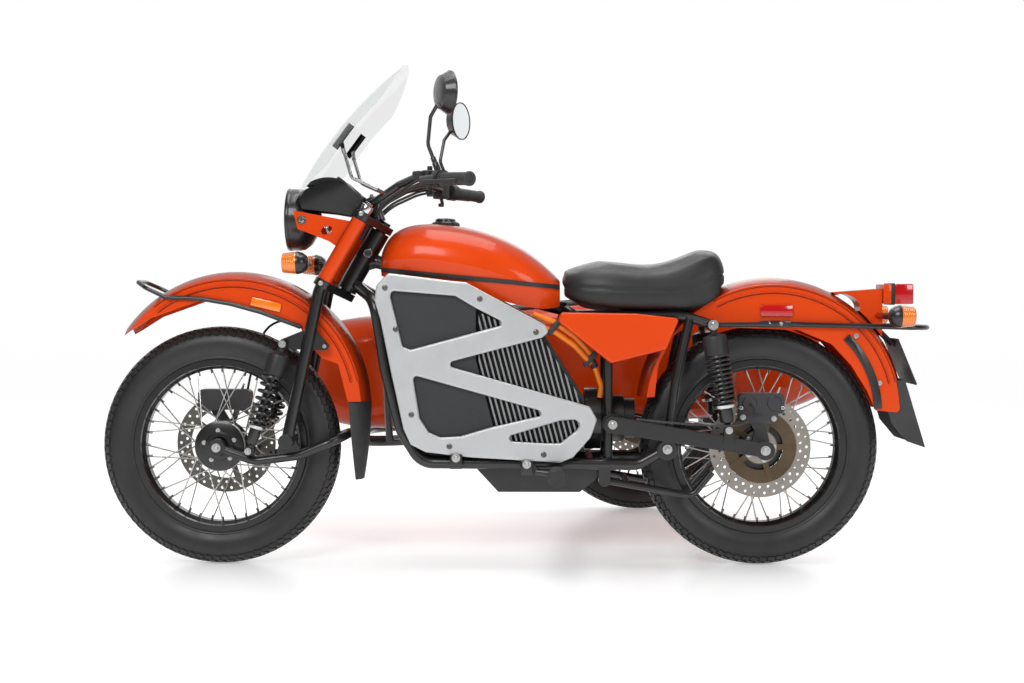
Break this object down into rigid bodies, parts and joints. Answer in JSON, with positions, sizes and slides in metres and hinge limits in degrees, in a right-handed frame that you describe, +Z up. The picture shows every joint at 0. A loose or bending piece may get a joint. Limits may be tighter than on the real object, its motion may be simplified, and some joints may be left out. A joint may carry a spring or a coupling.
{
  "type": "sidecar motorcycle",
  "caption": "Electric motorcycle with a passenger sidecar: tubular frame, leading-link fork, wire wheels, windscreen, alloy battery cover, saddle and hollow tub.",
  "frame": {"origin": "on the ground, under the middle of the machine's overall length and width", "axes": "+X to the rear, +Y to the right-hand side where the sidecar is, +Z up"},
  "size_m": [2.299, 1.6454, 1.3934],
  "materials": {
    "orange_paint": "gloss burnt orange",
    "black_paint": "satin black",
    "black_plastic": "fine matt",
    "tyre_rubber": "matt",
    "soft_rubber": "matt",
    "spoked_metal": "black rim and hub, polished spokes",
    "disc_steel": "machined",
    "cast_alloy": "satin",
    "sink_alloy": "machined fins",
    "vinyl": "grained black vinyl",
    "clear_sheet": "clear",
    "bright_metal": "polished",
    "spring_black": "satin black",
    "lamp_amber": "clear amber",
    "lamp_red": "clear red",
    "cable_orange": "satin",
    "caliper_grey": "satin"
  },
  "bodies": {
    "chassis": {"alloy_covers": "cast_alloy", "battery_pack": "black_plastic", "belly_pan": "black_paint", "final_drive": "black_paint", "foot_controls": "black_paint", "heat_sink": "sink_alloy", "main_frame": "black_paint", "motor": "black_paint", "number_plate": "black_plastic", "power_cables": "cable_orange", "rear_caliper": "caliper_grey", "rear_flap": "soft_rubber", "rear_indicators": "lamp_amber", "rear_mudguard": "orange_paint", "rear_rail": "black_paint", "rear_shocks": "spring_black", "seat": "vinyl", "side_covers": "orange_paint", "sidecar_arm": "black_paint", "sidecar_frame": "black_paint", "sidecar_lamps": "lamp_red", "sidecar_mudguard": "orange_paint", "sidecar_seat": "vinyl", "sidecar_shock": "spring_black", "sidecar_struts": "black_paint", "sidecar_tub": "orange_paint", "swingarm": "black_paint", "tail_bracket": "orange_paint", "tail_lamp": "lamp_red", "tank": "orange_paint", "tank_trim": "black_plastic"},
    "steering": {"bar_controls": "black_plastic", "cowl": "black_plastic", "fork_legs": "black_paint", "fork_link": "black_paint", "fork_shrouds": "orange_paint", "front_caliper": "caliper_grey", "front_flap": "soft_rubber", "front_indicators": "lamp_amber", "front_mudguard": "orange_paint", "front_shocks": "spring_black", "grips": "soft_rubber", "handlebar": "black_paint", "headlight": "black_paint", "mirrors": "black_plastic", "mudguard_rail": "black_paint", "windscreen": "clear_sheet", "windscreen_struts": "bright_metal"},
    "front_wheel_body": {"front_disc": "disc_steel", "front_tyre": "tyre_rubber", "front_wheel": "spoked_metal"},
    "rear_wheel_body": {"rear_disc": "disc_steel", "rear_tyre": "tyre_rubber", "rear_wheel": "spoked_metal"},
    "sidecar_wheel_body": {"sidecar_disc": "disc_steel", "sidecar_tyre": "tyre_rubber", "sidecar_wheel": "spoked_metal"},
    "trunk_lid_body": {"trunk_lid": "orange_paint"},
    "centre_stand_body": {"centre_stand": "black_paint"}
  },
  "joints": [
    {"name": "steering_turn", "type": "hinge", "parent": "chassis", "child": "steering", "pos_m": [-0.4585, -0.3975, 0.783], "axis": [0.506, 0, 0.8625], "range_deg": [-32, 32]},
    {"name": "front_wheel_spin", "type": "hinge", "parent": "steering", "child": "front_wheel_body", "pos_m": [-0.8175, -0.3975, 0.332], "axis": [0, 1, 0], "continuous": true},
    {"name": "rear_wheel_spin", "type": "hinge", "parent": "chassis", "child": "rear_wheel_body", "pos_m": [0.6825, -0.3975, 0.332], "axis": [0, 1, 0], "continuous": true},
    {"name": "sidecar_wheel_spin", "type": "hinge", "parent": "chassis", "child": "sidecar_wheel_body", "pos_m": [0.4235, 0.7425, 0.332], "axis": [0, 1, 0], "continuous": true},
    {"name": "trunk_lid_hinge", "type": "hinge", "parent": "chassis", "child": "trunk_lid_body", "pos_m": [0.4565, 0.26, 0.757], "axis": [0, -1, 0], "range_deg": [0, 80]},
    {"name": "centre_stand_hinge", "type": "hinge", "parent": "chassis", "child": "centre_stand_body", "pos_m": [0.2495, -0.3975, 0.245], "axis": [0, 1, 0], "range_deg": [0, 55]}
  ]
}
